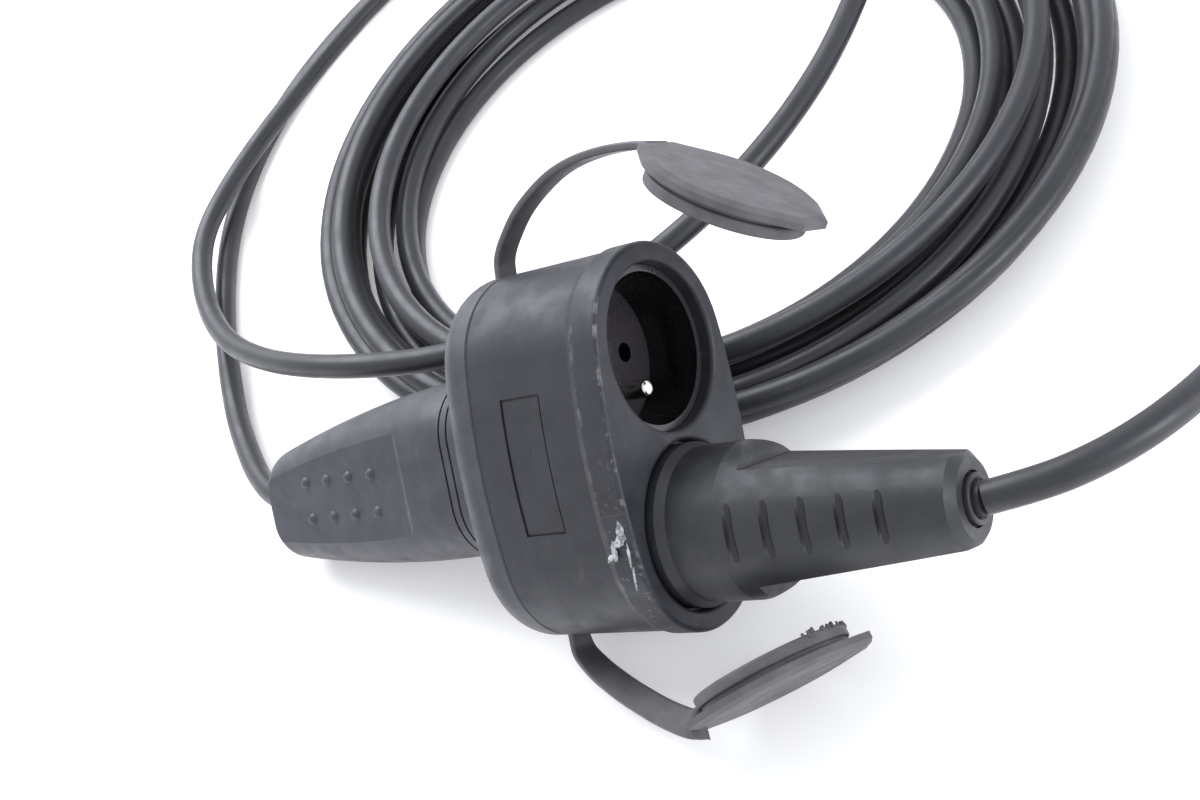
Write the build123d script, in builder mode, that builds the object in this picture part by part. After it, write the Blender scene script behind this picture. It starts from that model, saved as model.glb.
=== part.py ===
"""Rubber extension lead: a double trailing socket with two tethered caps, its coiled cord and its own
plug, which is pushed into the lower socket.

The socket and the plug are drawn in the housing's own frame: X runs forward along the sockets, Z from
the lower socket to the upper one, and the origin is the middle of the front face. The location named
rest lays them down on the surface, where Z is up. All lengths are in millimetres.
"""
from build123d import *
import os
from math import atan, cos, pi, radians, sin, tan

os.makedirs("parts", exist_ok=True)

# How the lead lies: the housing leans back on the coil, on its lower lobe and its handle
lean = 46.3
nose_up = 13.5
face_height = 54.23
origin_shift_x = -51.03
origin_shift_y = -3.81

# Sockets
pitch = 46.7
mouth_radius = 22.0
mouth_depth = 4.0
recess_radius = 20.0
recess_depth = 20.0
floor_thickness = 8.0
pin_spacing = 19.0
contact_hole_radius = 2.65
contact_hole_length = 3.5
contact_pocket_radius = 4.2
earth_pin_radius = 2.4
earth_shank_radius = 1.9
earth_foot_radius = 2.8
earth_foot_height = 0.9
earth_pin_offset = 10.0
earth_pin_setback = 7.0
fit_gap = 0.2
pin_gap = 0.05

# Housing
lobe_radius = 26.7
middle_half_width = 28.7
shell_length = 44.5
shell_wall = 3.0
face_rounding = 1.3
band_length = 8.0
band_proud = 0.7
band_ramp = 2.0
seam_chamfer = 0.5
spigot_length = 4.0
spigot_wall = 1.6
boss_radius = 3.6
boss_spacing = 38.0
plate_back = 34.0
plate_length = 13.3
plate_height = 35.7
plate_depth = 0.3
plate_groove_width = 0.6
plate_groove_depth = 0.6
insert_flange_radius = 23.1
insert_flange_thickness = 2.0

# Rear cover and handle
cover_length = 13.0
cover_rounding = 9.0
neck_height = 51.0
neck_width = 35.0
neck_roundness = 0.48
neck_flare = 3.0
neck_flare_length = 4.0
neck_end = 77.0
handle_end = 154.0
handle_end_height = 33.5
handle_end_width = 27.0
handle_end_rounding = 5.0
handle_droop = 4.8
handle_wall = 5.0
neck_groove_width = 0.7
neck_groove_depth = 0.5
neck_groove_pitch = 2.9
neck_groove_count = 3
neck_groove_start = 1.0
cable_room_end = 96.0
grip_front = 86.0
grip_depth = 1.3
grip_shoulder_length = 3.0
dome_middle = 117.2
dome_radius = 2.0
dome_height = 1.2
dome_pitch = 10.4
dome_row_pitch = 11.3

# Live parts
strip_thickness = 0.8
strip_width = 6.0
sleeve_wall = 0.7
sleeve_length = 13.0
strip_setback = 31.0
earth_strip_setback = 35.5
tongue_reach = 11.5
carrier_inset = 5.0
carrier_thickness = 2.5
pin_radius = 2.4
pin_length = 19.0
screw_radius = 1.5
screw_head_radius = 2.7
screw_head_height = 1.8

# Cord
cord_radius = 4.0
wire_radius = 1.3
clamp_length = 8.0
clamp_height = 4.0
clamp_screw_spacing = 17.0
coil_outer_middle = (-12.3, 173.8)
coil_outer_radius = 152.0
coil_inner_middle = (-2.3, 153.8)
coil_inner_radius = 92.0
coil_height = 27.0
coil_edge_rounding = 9.0

# Caps and straps
cap_flange_radius = 22.7
cap_flange_thickness = 1.7
cap_crown = 0.9
cap_bevel = 2.0
cap_neck_step = 0.8
cap_neck_length = 1.4
cap_bead_clearance = 1.1
cap_bead_length = 3.2
cap_hollow_radius = 17.0
cap_hollow_depth = 3.5
cap_edge_rounding = 0.7
cap_root_reach = 24.5
cap_root_width = 14.0
cap_tab_reach = 25.2
cap_tab_width = 11.0
cap_end_length = 3.0
upper_cap_middle = (29.97, 0.0, 59.95)
lower_cap_middle = (19.99, -7.22, -64.63)
strap_width = 7.5
strap_thickness = 2.2
strap_gap = 0.15
strap_end_gap = 0.7
strap_behind_seam = 3.2
strap_anchor_width = 11.0
strap_anchor_thickness = 1.6
strap_anchor_drop = 1.7

# Plug
plug_radius = 20.0
plug_nose_radius = 19.6
plug_face_gap = 0.3
plug_collar_radius = 21.3
plug_collar_end = 1.5
plug_collar_slope = 2.5
plug_base_end = 18.0
plug_end = 76.0
plug_end_radius = 11.5
plug_end_chamfer = 2.0
plug_flat_height = 29.5
plug_end_flat_height = 21.0
plug_shoulder_length = 5.0
plug_core_radius = 16.5
plug_core_length = 15.0
plug_room_radius = 9.0
plug_room_end = 58.0
plug_slot_start = 21.9
plug_slot_pitch = 9.3
plug_slot_count = 5
plug_slot_length = 16.0
plug_slot_width = 2.5
plug_slot_depth = 1.5
plug_slot_lift = 1.2
gland_radius = 6.0
gland_length = 2.4
gland_seat = 1.2
gland_gap = 0.6
gland_rounding = 0.5
gland_mouth = 0.9
sheath_showing = 2.4
clip_width = 6.0
clip_thickness = 0.8

half_pitch = pitch / 2
front_block = recess_depth + floor_thickness
carrier_setback = shell_length - carrier_inset
tongue_end = carrier_setback + tongue_reach
back_x = -(shell_length + cover_length)
strap_setback = shell_length + strap_behind_seam
sleeve_radius = contact_hole_radius + sleeve_wall
sleeve_front = recess_depth + contact_hole_length + fit_gap
plug_face = -(recess_depth - plug_face_gap)
plug_axis = Axis((0, 0, -half_pitch), (1, 0, 0))
rest = Location(
    Plane(
        origin=(-origin_shift_x, -origin_shift_y, face_height),
        x_dir=(cos(radians(nose_up)), 0, sin(radians(nose_up))),
        z_dir=(
            -sin(radians(nose_up)) * cos(radians(lean)),
            sin(radians(lean)),
            cos(radians(nose_up)) * cos(radians(lean)),
        ),
    )
)


def across(x):
    """The plane square to the sockets' axis at x, looking forward."""
    return Plane.YZ.offset(x)


def outline(grow=0.0):
    """The housing's outline: two round lobes and two slightly barrelled sides, as tangent arcs."""
    lobe = lobe_radius + grow
    middle = middle_half_width + grow
    side = (half_pitch**2 + middle**2 - lobe**2) / (2 * (middle - lobe))
    touch_y = lobe * (side - middle) / (side - lobe)
    touch_z = half_pitch + lobe * half_pitch / (side - lobe)
    with BuildSketch() as face:
        with BuildLine():
            ThreePointArc((touch_y, touch_z), (0, half_pitch + lobe), (-touch_y, touch_z))
            ThreePointArc((-touch_y, touch_z), (-middle, 0), (-touch_y, -touch_z))
            ThreePointArc((-touch_y, -touch_z), (0, -half_pitch - lobe), (touch_y, -touch_z))
            ThreePointArc((touch_y, -touch_z), (middle, 0), (touch_y, touch_z))
        make_face()
    return face.sketch


# Front shell: the rubber body, with a socket well in each lobe and a room for the live parts behind
with BuildPart() as plate_recess:
    with BuildSketch(across(-plate_back)):
        add(outline(1.0))
        add(outline(-plate_depth), mode=Mode.SUBTRACT)
    extrude(amount=plate_length)
    with Locations((-plate_back + plate_length / 2, -middle_half_width, 0)):
        Box(plate_length, middle_half_width, plate_height, mode=Mode.INTERSECT)

with BuildPart() as plate_groove:
    with BuildSketch(across(-plate_back)):
        add(outline(1.0))
        add(outline(-plate_groove_depth), mode=Mode.SUBTRACT)
    extrude(amount=plate_length)
    with Locations((-plate_back + plate_length / 2, -middle_half_width, 0)):
        Box(plate_length, middle_half_width, plate_height, mode=Mode.INTERSECT)
        Box(
            plate_length - 2 * plate_groove_width,
            middle_half_width,
            plate_height - 2 * plate_groove_width,
            mode=Mode.SUBTRACT,
        )

with BuildPart() as front_shell:
    with BuildSketch(across(-shell_length)):
        add(outline())
    extrude(amount=shell_length)
    with BuildSketch(across(-band_length)):
        add(outline(band_proud))
    extrude(amount=band_length)
    with BuildSketch(across(-band_length)):
        add(outline(band_proud))
    with BuildSketch(across(-band_length - band_ramp)):
        add(outline(0.01))
    loft()
    with BuildSketch(across(0)):
        with GridLocations(1, pitch, 1, 2):
            Circle(mouth_radius)
    extrude(amount=-front_block, mode=Mode.SUBTRACT)
    with BuildSketch(across(-shell_length)):
        add(outline(-shell_wall))
    extrude(amount=shell_length - front_block, mode=Mode.SUBTRACT)
    fillet(front_shell.edges().group_by(Axis.X)[-1], radius=face_rounding)
    with BuildSketch(across(-front_block)):
        with GridLocations(boss_spacing, 1, 2, 1):
            Circle(boss_radius)
            Circle(screw_radius, mode=Mode.SUBTRACT)
    extrude(amount=-(carrier_setback - front_block))
    chamfer(
        front_shell.faces().sort_by(Axis.X)[0].outer_wire().edges(),
        length=seam_chamfer,
    )
    add(plate_recess.part, mode=Mode.SUBTRACT)
    add(plate_groove.part, mode=Mode.SUBTRACT)

front_shell.part.label = "front_shell"
export_step(front_shell.part.moved(rest), "parts/front_shell.step")


# Socket inserts: a hard cup in each well, with two contact holes and a hole for the earth pin
def socket_insert(side):
    with BuildPart() as insert:
        with BuildSketch(across(-front_block)):
            with Locations((0, side * half_pitch)):
                Circle(mouth_radius - fit_gap)
        extrude(amount=front_block - mouth_depth)
        with BuildSketch(across(-front_block)):
            with Locations((0, side * half_pitch)):
                Circle(insert_flange_radius)
        extrude(amount=-insert_flange_thickness)
        with BuildSketch(across(-recess_depth)):
            with Locations((0, side * half_pitch)):
                Circle(recess_radius)
        extrude(amount=recess_depth, mode=Mode.SUBTRACT)
        with BuildSketch(across(-recess_depth)):
            with Locations((0, side * half_pitch)):
                with GridLocations(pin_spacing, 1, 2, 1):
                    Circle(contact_hole_radius)
            with Locations((0, side * half_pitch - earth_pin_offset)):
                Circle(earth_shank_radius + pin_gap)
        extrude(amount=-(floor_thickness + insert_flange_thickness), mode=Mode.SUBTRACT)
        with BuildSketch(across(-recess_depth - contact_hole_length)):
            with Locations((0, side * half_pitch)):
                with GridLocations(pin_spacing, 1, 2, 1):
                    Circle(contact_pocket_radius)
        extrude(amount=-(floor_thickness + insert_flange_thickness), mode=Mode.SUBTRACT)
    return insert


upper_insert = socket_insert(1)
upper_insert.part.label = "upper_socket_insert"
export_step(upper_insert.part.moved(rest), "parts/upper_socket_insert.step")

lower_insert = socket_insert(-1)
lower_insert.part.label = "lower_socket_insert"
export_step(lower_insert.part.moved(rest), "parts/lower_socket_insert.step")


# Earth pins: round bars on a small foot, with a rounded tip and a thinner shank riveted into the earth strip
def earth_pin(side):
    foot = Plane(
        origin=(-recess_depth, 0, side * half_pitch - earth_pin_offset), x_dir=(0, 1, 0), z_dir=(1, 0, 0)
    )
    up = (Align.CENTER, Align.CENTER, Align.MIN)
    down = (Align.CENTER, Align.CENTER, Align.MAX)
    with BuildPart(foot) as bar:
        Cylinder(earth_pin_radius, recess_depth - earth_pin_setback, align=up)
        fillet(bar.edges().group_by(Axis.X)[-1], radius=0.6 * earth_pin_radius)
        Cone(earth_foot_radius, earth_pin_radius, earth_foot_height, align=up)
        Cylinder(earth_shank_radius, earth_strip_setback + strip_thickness - recess_depth, align=down)
    return bar


upper_earth_pin = earth_pin(1)
upper_earth_pin.part.label = "upper_earth_pin"
export_step(upper_earth_pin.part.moved(rest), "parts/upper_earth_pin.step")

lower_earth_pin = earth_pin(-1)
lower_earth_pin.part.label = "lower_earth_pin"
export_step(lower_earth_pin.part.moved(rest), "parts/lower_earth_pin.step")


# Contact strips: one strip joins the same pole of both sockets and ends in a tongue for its wire
def tongue(y, front):
    """The flat tongue that carries a strip's terminal screw, as a face in the XY plane."""
    with BuildSketch() as face:
        with Locations((-(front + tongue_end) / 2, y)):
            Rectangle(tongue_end - front, strip_width)
        with Locations((-tongue_end + strip_width / 2, y)):
            Circle(screw_radius, mode=Mode.SUBTRACT)
    return face.sketch


def contact_strip(y):
    with BuildPart() as strip:
        with BuildSketch(across(-strip_setback - strip_thickness)):
            with Locations((y, 0)):
                Rectangle(strip_width, pitch + strip_width)
        extrude(amount=strip_thickness)
        with BuildSketch(across(-sleeve_front)):
            with Locations((y, half_pitch), (y, -half_pitch)):
                Circle(sleeve_radius)
        extrude(amount=-sleeve_length)
        with BuildSketch(across(-sleeve_front)):
            with Locations((y, half_pitch), (y, -half_pitch)):
                Circle(contact_hole_radius + pin_gap)
        extrude(amount=-sleeve_length, mode=Mode.SUBTRACT)
        with BuildSketch(Plane.XY):
            add(tongue(y, strip_setback))
        extrude(amount=strip_thickness / 2, both=True)
    return strip


live_strip = contact_strip(pin_spacing / 2)
live_strip.part.label = "live_contact_strip"
export_step(live_strip.part.moved(rest), "parts/live_contact_strip.step")

neutral_strip = contact_strip(-pin_spacing / 2)
neutral_strip.part.label = "neutral_contact_strip"
export_step(neutral_strip.part.moved(rest), "parts/neutral_contact_strip.step")

with BuildPart() as earth_strip:
    with BuildSketch(across(-earth_strip_setback - strip_thickness)):
        with Locations((0, -earth_pin_offset)):
            Rectangle(strip_width, pitch + 2 * strip_width)
            with GridLocations(1, pitch, 1, 2):
                Circle(earth_shank_radius + pin_gap, mode=Mode.SUBTRACT)
    extrude(amount=strip_thickness)
    with BuildSketch(Plane.XY):
        add(tongue(0, earth_strip_setback))
    extrude(amount=strip_thickness / 2, both=True)
earth_strip.part.label = "earth_strip"
export_step(earth_strip.part.moved(rest), "parts/earth_strip.step")

# Carrier: the plate that shuts the live parts in, with slots for the three tongues
with BuildPart() as contact_carrier:
    with BuildSketch(across(-carrier_setback - carrier_thickness)):
        add(outline(-shell_wall - spigot_wall - 2 * fit_gap))
        with GridLocations(pin_spacing / 2, 1, 3, 1):
            Rectangle(strip_width + fit_gap, strip_thickness + fit_gap, mode=Mode.SUBTRACT)
        with GridLocations(boss_spacing, 1, 2, 1):
            Circle(screw_radius + pin_gap, mode=Mode.SUBTRACT)
    extrude(amount=carrier_thickness)
contact_carrier.part.label = "contact_carrier"
export_step(contact_carrier.part.moved(rest), "parts/contact_carrier.step")

with BuildPart() as carrier_screws:
    with BuildSketch(across(-carrier_setback - carrier_thickness)):
        with GridLocations(boss_spacing, 1, 2, 1):
            Circle(screw_head_radius)
    extrude(amount=-screw_head_height)
    with BuildSketch(across(-carrier_setback - carrier_thickness)):
        with GridLocations(boss_spacing, 1, 2, 1):
            Circle(screw_radius)
    extrude(amount=carrier_thickness + carrier_setback - front_block)
carrier_screws.part.label = "carrier_screws"
export_step(carrier_screws.part.moved(rest), "parts/carrier_screws.step")

with BuildPart() as terminal_screws:
    with BuildSketch(Plane.XY.offset(strip_thickness / 2)):
        with Locations((-tongue_end + strip_width / 2, 0)):
            with GridLocations(1, pin_spacing / 2, 1, 3):
                Circle(screw_head_radius)
    extrude(amount=screw_head_height)
    with BuildSketch(Plane.XY.offset(strip_thickness / 2)):
        with Locations((-tongue_end + strip_width / 2, 0)):
            with GridLocations(1, pin_spacing / 2, 1, 3):
                Circle(screw_radius)
    extrude(amount=-2 * screw_head_height)
terminal_screws.part.label = "terminal_screws"
export_step(terminal_screws.part.moved(rest), "parts/terminal_screws.step")


# Rear cover: shoulder, ribbed neck and handle in one moulding
def droop(x):
    """How far the handle's middle hangs below the sockets' axis."""
    return -handle_droop * (-x + back_x) / (handle_end + back_x)


def handle_section(x):
    """The handle's rounded section at x, which gets smaller towards the cord."""
    share = (-x - neck_end) / (handle_end - neck_end)
    height = neck_height - (neck_height - handle_end_height) * share**1.8
    width = neck_width - (neck_width - handle_end_width) * share
    with BuildSketch() as section:
        with Locations((0, droop(x))):
            RectangleRounded(width, height, neck_roundness * width)
    return section.sketch


handle_stations = [-neck_end - (handle_end - neck_end) * share for share in (0, 0.2, 0.5, 0.8, 1)]
neck_middle = droop(-neck_end)
cord_start = Vector(-neck_end - 1, 0, droop(-neck_end))
cord_exit = Vector(-handle_end, 0, droop(-handle_end))
clamp_middle = cord_start + (cord_exit - cord_start) * 0.13
cord_line = Plane(origin=cord_exit, x_dir=(0, 1, 0), z_dir=cord_start - cord_exit)
grip_slope = atan((neck_width - handle_end_width) / 2 / (handle_end - neck_end))
dome_sphere = (dome_radius**2 + dome_height**2) / (2 * dome_height)


def grip_floor(x):
    """How far the floor of the grip panel lies from the handle's middle at x."""
    taper = (neck_width - handle_end_width) / 2
    return neck_width / 2 - taper * (-x - neck_end) / (handle_end - neck_end) - grip_depth


def dome_plane(side):
    """The floor of the grip panel on one side, in the middle of its domes."""
    return Plane(
        origin=(-dome_middle, side * grip_floor(-dome_middle), droop(-dome_middle)),
        x_dir=(cos(grip_slope), side * sin(grip_slope), 0),
        z_dir=(-sin(grip_slope), side * cos(grip_slope), 0),
    )


with BuildPart() as rear_cover:
    with BuildSketch(across(back_x)):
        add(outline())
    extrude(amount=cover_length)
    fillet(rear_cover.edges().group_by(Axis.X)[0], radius=cover_rounding)
    chamfer(rear_cover.edges().group_by(Axis.X)[-1], length=seam_chamfer)
    with BuildSketch(across(back_x)):
        with Locations((0, neck_middle)):
            RectangleRounded(
                neck_width + 2 * neck_flare, neck_height + neck_flare, neck_roundness * neck_width + neck_flare
            )
    with BuildSketch(across(back_x - neck_flare_length)):
        with Locations((0, neck_middle)):
            RectangleRounded(neck_width, neck_height, neck_roundness * neck_width)
    loft()
    with BuildSketch(across(-neck_end)):
        with Locations((0, neck_middle)):
            RectangleRounded(neck_width, neck_height, neck_roundness * neck_width)
    extrude(amount=neck_end + back_x - neck_flare_length)
    for station in handle_stations:
        with BuildSketch(across(station)):
            add(handle_section(station))
    loft()
    fillet(rear_cover.edges().group_by(Axis.X)[0], radius=handle_end_rounding)
    for groove in range(neck_groove_count):
        groove_x = back_x - neck_flare_length - neck_groove_start - groove * neck_groove_pitch
        with BuildSketch(across(groove_x)):
            with Locations((0, neck_middle)):
                RectangleRounded(neck_width + 4, neck_height + 4, neck_roundness * neck_width + 2)
                RectangleRounded(
                    neck_width - 2 * neck_groove_depth,
                    neck_height - 2 * neck_groove_depth,
                    neck_roundness * neck_width - neck_groove_depth,
                    mode=Mode.SUBTRACT,
                )
        extrude(amount=-neck_groove_width, mode=Mode.SUBTRACT)
    for side in (-1, 1):
        floor_end = (-grip_front - grip_shoulder_length, side * grip_floor(-grip_front))
        shoulder_top = (-grip_front, side * (grip_floor(-grip_front) + 1.2 * grip_depth))
        past_end = -handle_end - 1
        with BuildSketch():
            with BuildLine():
                panel_floor = Line((past_end, side * grip_floor(past_end)), floor_end)
                TangentArc(floor_end, shoulder_top, tangent=panel_floor % 1)
                Polyline(
                    shoulder_top,
                    (-grip_front, side * neck_width),
                    (past_end, side * neck_width),
                    (past_end, side * grip_floor(past_end)),
                )
            make_face()
        extrude(amount=neck_height, both=True, mode=Mode.SUBTRACT)
        with Locations(dome_plane(side).offset(dome_height - dome_sphere)):
            with GridLocations(dome_pitch, dome_row_pitch, 4, 2):
                Sphere(dome_sphere)
    # Rooms for the wires and the cord clamp
    with BuildSketch(across(-shell_length)):
        add(outline(-shell_wall - fit_gap - spigot_wall))
    extrude(amount=-(cover_length - shell_wall), mode=Mode.SUBTRACT)
    with BuildSketch(across(-cable_room_end)):
        with Locations((0, neck_middle)):
            RectangleRounded(
                neck_width - 2 * handle_wall, neck_height - 2 * handle_wall, neck_roundness * neck_width / 2
            )
    extrude(amount=cable_room_end + back_x + shell_wall, mode=Mode.SUBTRACT)
    # Ledge under the cord, with two screw holes for the clamp, and the cord's passage
    with BuildSketch(Plane.XY.offset(clamp_middle.Z)):
        with Locations((clamp_middle.X, 0)):
            Rectangle(clamp_length, neck_width - 2 * handle_wall + 1)
            with GridLocations(1, clamp_screw_spacing, 1, 2):
                Circle(screw_radius + pin_gap, mode=Mode.SUBTRACT)
    extrude(amount=-2 * cord_radius)
    with BuildSketch(cord_line):
        Circle(cord_radius + pin_gap)
    extrude(amount=handle_end - neck_end, mode=Mode.SUBTRACT)
    # Spigot that fits inside the front shell
    with BuildSketch(across(-shell_length)):
        add(outline(-shell_wall - fit_gap))
        add(outline(-shell_wall - fit_gap - spigot_wall), mode=Mode.SUBTRACT)
    extrude(amount=spigot_length)
    # Slots in which the roots of the two cap straps sit
    with BuildSketch(Plane.XY):
        with Locations((-strap_setback, 0)):
            Rectangle(strap_thickness + 2 * strap_gap, strap_width + 2 * strap_gap)
    extrude(amount=half_pitch + lobe_radius + 1, both=True, mode=Mode.SUBTRACT)
rear_cover.part.label = "rear_cover"
export_step(rear_cover.part.moved(rest), "parts/rear_cover.step")

# Cord inside the handle, its clamp and its three wires
with BuildPart() as sheath_end:
    with BuildSketch(cord_line):
        Circle(cord_radius)
    extrude(amount=(cord_exit - cord_start).length)
sheath_end.part.label = "cord_end_in_handle"
export_step(sheath_end.part.moved(rest), "parts/cord_end_in_handle.step")

with BuildPart() as cord_clamp:
    with BuildSketch(Plane.XY.offset(clamp_middle.Z + fit_gap)):
        with Locations((clamp_middle.X, 0)):
            Rectangle(clamp_length, clamp_screw_spacing + 2 * screw_head_radius)
            with GridLocations(1, clamp_screw_spacing, 1, 2):
                Circle(screw_radius + pin_gap, mode=Mode.SUBTRACT)
    extrude(amount=cord_radius + clamp_height)
    with BuildSketch(cord_line):
        Circle(cord_radius + pin_gap)
    extrude(amount=handle_end - neck_end, mode=Mode.SUBTRACT)
cord_clamp.part.label = "cord_clamp"
export_step(cord_clamp.part.moved(rest), "parts/cord_clamp.step")

with BuildPart() as clamp_screws:
    clamp_top = clamp_middle.Z + fit_gap + cord_radius + clamp_height
    with BuildSketch(Plane.XY.offset(clamp_top)):
        with Locations((clamp_middle.X, 0)):
            with GridLocations(1, clamp_screw_spacing, 1, 2):
                Circle(screw_head_radius)
    extrude(amount=screw_head_height)
    with BuildSketch(Plane.XY.offset(clamp_top)):
        with Locations((clamp_middle.X, 0)):
            with GridLocations(1, clamp_screw_spacing, 1, 2):
                Circle(screw_radius)
    extrude(amount=-2 * (cord_radius + clamp_height))
clamp_screws.part.label = "clamp_screws"
export_step(clamp_screws.part.moved(rest), "parts/clamp_screws.step")

wire_places = {"live": (1.6, 0.9), "neutral": (-1.6, 0.9), "earth": (0.0, -1.85)}


def wire(start, end, straight):
    """An insulated wire that leaves its terminal straight and turns into the cord's sheath."""
    after_start = start + Vector(straight, 0, 0)
    before_end = end - Vector(straight, 0, 0)
    turn = radians((before_end - after_start).get_angle(Vector(straight, 0, 0)))
    bend = 0.45 * abs(straight) / tan(turn / 2)
    with BuildPart() as conductor:
        with BuildLine() as route:
            FilletPolyline(start, after_start, before_end, end, radius=min(bend, 20))
        with BuildSketch(Plane(origin=start, z_dir=after_start - start)):
            Circle(wire_radius)
        sweep(path=route.wires()[0])
    return conductor


def handle_wire(y, place):
    side, up = wire_places[place]
    end = cord_start + Vector(fit_gap, side, up)
    return wire(Vector(-tongue_end, y, 0), end, -6)


live_wire = handle_wire(pin_spacing / 2, "live")
live_wire.part.label = "live_wire"
export_step(live_wire.part.moved(rest), "parts/live_wire.step")

neutral_wire = handle_wire(-pin_spacing / 2, "neutral")
neutral_wire.part.label = "neutral_wire"
export_step(neutral_wire.part.moved(rest), "parts/neutral_wire.step")

earth_wire = handle_wire(0, "earth")
earth_wire.part.label = "earth_wire"
export_step(earth_wire.part.moved(rest), "parts/earth_wire.step")


# Caps: a bevelled flange with a tab, a narrower neck and a round bead that snaps into the mouth
cap_bead_radius = mouth_radius - cap_bead_clearance
upper_cap_plane = Plane(origin=upper_cap_middle, x_dir=(0.8129, 0, -0.5824), z_dir=(0.5824, 0, 0.8129))
lower_cap_plane = Plane(
    origin=lower_cap_middle, x_dir=(0.7566, 0.5949, 0.2712), z_dir=(0.4144, -0.1156, -0.9027)
)


def cap_outline(inset, height):
    """A cap's flange: a circle drawn out to the strap on one side and to a square tab on the other."""
    with BuildSketch(Plane.XY.offset(height)) as flange:
        Circle(cap_flange_radius - inset)
        with Locations((inset - cap_root_reach + cap_end_length / 2, 0)):
            Rectangle(cap_end_length, cap_root_width - 2 * inset)
        with Locations((cap_tab_reach - inset - cap_end_length / 2, 0)):
            Rectangle(cap_end_length, cap_tab_width - inset)
        make_hull()
    return flange


def cap():
    top = (Align.CENTER, Align.CENTER, Align.MAX)
    with BuildPart() as lid:
        add(cap_outline(0, -cap_crown).sketch)
        extrude(amount=-cap_flange_thickness)
        add(cap_outline(0, -cap_crown).sketch)
        add(cap_outline(cap_bevel, 0).sketch)
        loft()
        with Locations((0, 0, -cap_crown - cap_flange_thickness)):
            Cylinder(cap_bead_radius - cap_neck_step, cap_neck_length, align=top)
        with Locations((0, 0, -cap_crown - cap_flange_thickness - cap_neck_length)):
            Cylinder(cap_bead_radius, cap_bead_length, align=top)
        with Locations((0, 0, -cap_crown - cap_flange_thickness - cap_neck_length - cap_bead_length)):
            Cylinder(
                cap_hollow_radius,
                cap_hollow_depth,
                align=(Align.CENTER, Align.CENTER, Align.MIN),
                mode=Mode.SUBTRACT,
            )
        fillet(
            [edge for edge in lid.edges().filter_by(GeomType.CIRCLE) if edge.radius == cap_bead_radius],
            radius=cap_edge_rounding,
        )
    return lid.part


upper_cap = cap().moved(Location(upper_cap_plane))
upper_cap.label = "upper_cap"
export_step(upper_cap.moved(rest), "parts/upper_cap.step")

lower_cap = cap().moved(Location(lower_cap_plane))
lower_cap.label = "lower_cap"
export_step(lower_cap.moved(rest), "parts/lower_cap.step")


# Straps: flat rubber bands, each rooted in a slot behind the seam
def strap(side, end, shares, widths):
    """A flat band that leaves its root square to the housing and bends and twists on its way to end.

    Each share tells how much of the way to the end a station has gone, along each axis.
    """
    root = Vector(-strap_setback, 0, side * (strap_root + strap_gap))
    way = end - root
    stations = [root]
    stations += [root + Vector(way.X * x, way.Y * y, way.Z * z) for x, y, z in shares]
    stations += [end]
    with BuildPart() as band:
        for index, station in enumerate(stations):
            before = stations[max(index - 1, 0)]
            after = stations[min(index + 1, len(stations) - 1)]
            along = after - before if index else Vector(0, 0, side)
            across_band = Vector(*widths[index])
            square = across_band - along * (across_band.dot(along) / along.dot(along))
            with BuildSketch(Plane(origin=station, x_dir=square, z_dir=along)):
                Rectangle(strap_width, strap_thickness)
        loft()
        with BuildSketch(Plane.XY.offset(root.Z)):
            with Locations((-strap_setback, 0)):
                Rectangle(strap_thickness, strap_width)
        extrude(amount=-side * strap_root_depth)
        with BuildSketch(Plane.XY.offset(root.Z - side * strap_root_depth)):
            with Locations((-strap_setback, 0)):
                Rectangle(strap_thickness, strap_anchor_width)
        extrude(amount=side * strap_anchor_thickness)
    return band


strap_root = half_pitch + lobe_radius
strap_root_depth = shell_wall + spigot_wall + strap_anchor_thickness + strap_anchor_drop
upper_strap = strap(
    1,
    upper_cap_plane.from_local_coords((-cap_root_reach - strap_end_gap, 0, -strap_thickness / 2)),
    [(0.045, 0, 0.33), (0.18, 0, 0.64), (0.36, 0, 0.9), (0.56, 0, 1.04), (0.78, 0, 1.08)],
    [(0, 1, 0)] * 7,
)
upper_strap.part.label = "upper_strap"
export_step(upper_strap.part.moved(rest), "parts/upper_strap.step")

lower_strap = strap(
    -1,
    lower_cap_plane.from_local_coords((-cap_root_reach - strap_thickness, 0, -strap_width / 2)),
    [(0.046, 0.048, 0.38), (0.2, 0.18, 0.66), (0.44, 0.38, 0.85), (0.71, 0.64, 0.98)],
    [(0, 1, 0), (0.1, 0.97, 0.1), (0.25, 0.85, 0.3), (0.35, 0.7, 0.5), (0.3, 0.5, 0.7), (0.2, 0.3, 0.9)],
)
lower_strap.part.label = "lower_strap"
export_step(lower_strap.part.moved(rest), "parts/lower_strap.step")


# Plug: moulded body, pin carrier and contacts, pushed home in the lower socket
def flat_height(x):
    """Height of the plug's grip across its two flats at x."""
    share = (x - plug_base_end) / (plug_end - plug_base_end)
    return plug_flat_height + (plug_end_flat_height - plug_flat_height) * share


def grip_radius(x):
    """Radius of the plug's tapered sides at x."""
    share = (x - plug_base_end) / (plug_end - plug_base_end)
    return plug_radius + (plug_end_radius - plug_radius) * share


slot_places = [plug_slot_start + index * plug_slot_pitch for index in range(plug_slot_count)]

# Straight round cutters, so that each slot runs out to a point at both ends
with BuildPart() as grip_slots:
    for x in slot_places:
        slot_bottom = grip_radius(x) - plug_slot_depth
        with Locations((x, 0, -half_pitch + plug_slot_lift)):
            with GridLocations(1, 2 * (slot_bottom + plug_slot_width / 2), 1, 2):
                Cylinder(plug_slot_width / 2, plug_slot_length)

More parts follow.
